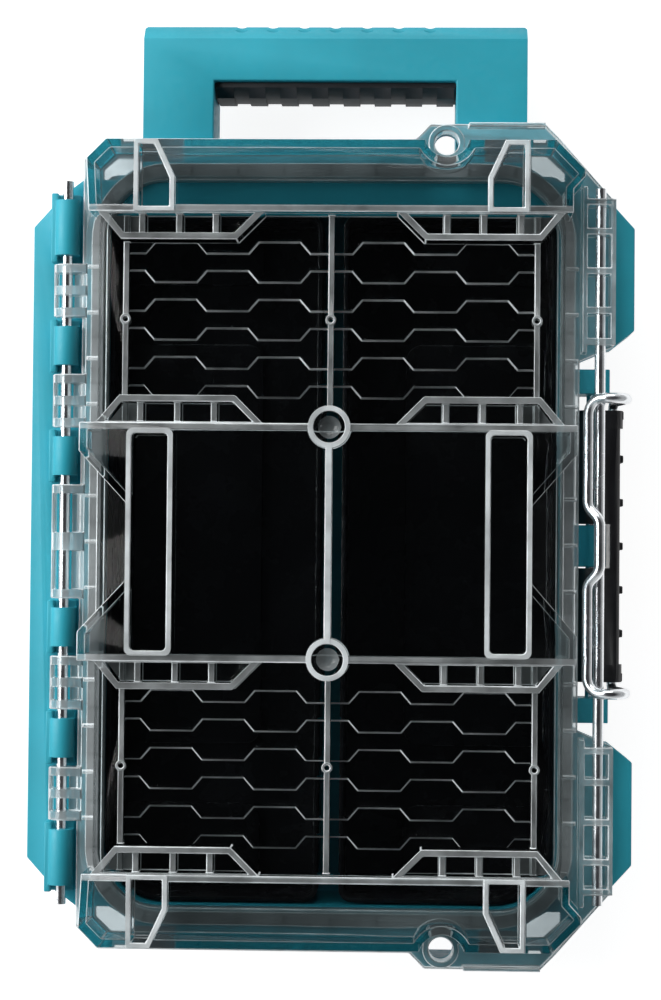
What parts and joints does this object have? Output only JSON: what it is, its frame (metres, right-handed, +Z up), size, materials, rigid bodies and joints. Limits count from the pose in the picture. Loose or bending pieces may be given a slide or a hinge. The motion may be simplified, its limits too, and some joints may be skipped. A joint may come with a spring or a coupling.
{
  "type": "organiser tool case",
  "caption": "Flat organiser case: deep base with lift-out bins, clear hinged lid, wire-bail lever latch and end handle.",
  "frame": {"origin": "middle of the case's underside, on the plane that it stands on", "axes": "+X towards the latch, +Y towards the handle, +Z up through the lid"},
  "size_m": [0.2192, 0.3435, 0.0708],
  "materials": {
    "teal_plastic": "fine-textured moulded polypropylene",
    "clear_plastic": "polished clear polycarbonate",
    "seal_rubber": "matt foam seal",
    "zinc_steel": "bright zinc-plated wire",
    "black_plastic": "satin moulded nylon",
    "black_rubber": "matt soft grip",
    "bin_plastic": "glossy moulded polypropylene"
  },
  "bodies": {
    "base": {"base_shell": "teal_plastic", "hinge_rod": "zinc_steel", "latch_pin": "zinc_steel", "handle_frame": "teal_plastic", "handle_grip": "black_rubber", "handle_screws": "zinc_steel", "bin_left": "bin_plastic", "bin_right": "bin_plastic"},
    "lid": {"lid_shell": "clear_plastic", "lid_gasket": "seal_rubber", "strike_rod": "zinc_steel"},
    "lever": {"latch_lever": "black_plastic"},
    "bail": {"wire_bail": "zinc_steel"}
  },
  "joints": [
    {"name": "lid_hinge", "type": "hinge", "parent": "base", "child": "lid", "pos_m": [-0.0966, 0, 0.0464], "axis": [0, -1, 0], "range_deg": [0, 100]},
    {"name": "latch_lever_hinge", "type": "hinge", "parent": "base", "child": "lever", "pos_m": [0.095, 0, 0.033], "axis": [0, -1, 0], "range_deg": [0, 100]},
    {"name": "bail_swing", "type": "hinge", "parent": "lever", "child": "bail", "pos_m": [0.10278, 0, 0.034], "axis": [0, -1, 0], "range_deg": [-160, 0]}
  ],
  "couplings": [
    {"joint": "bail_swing", "follows": "latch_lever_hinge", "ratio": -1.6}
  ]
}
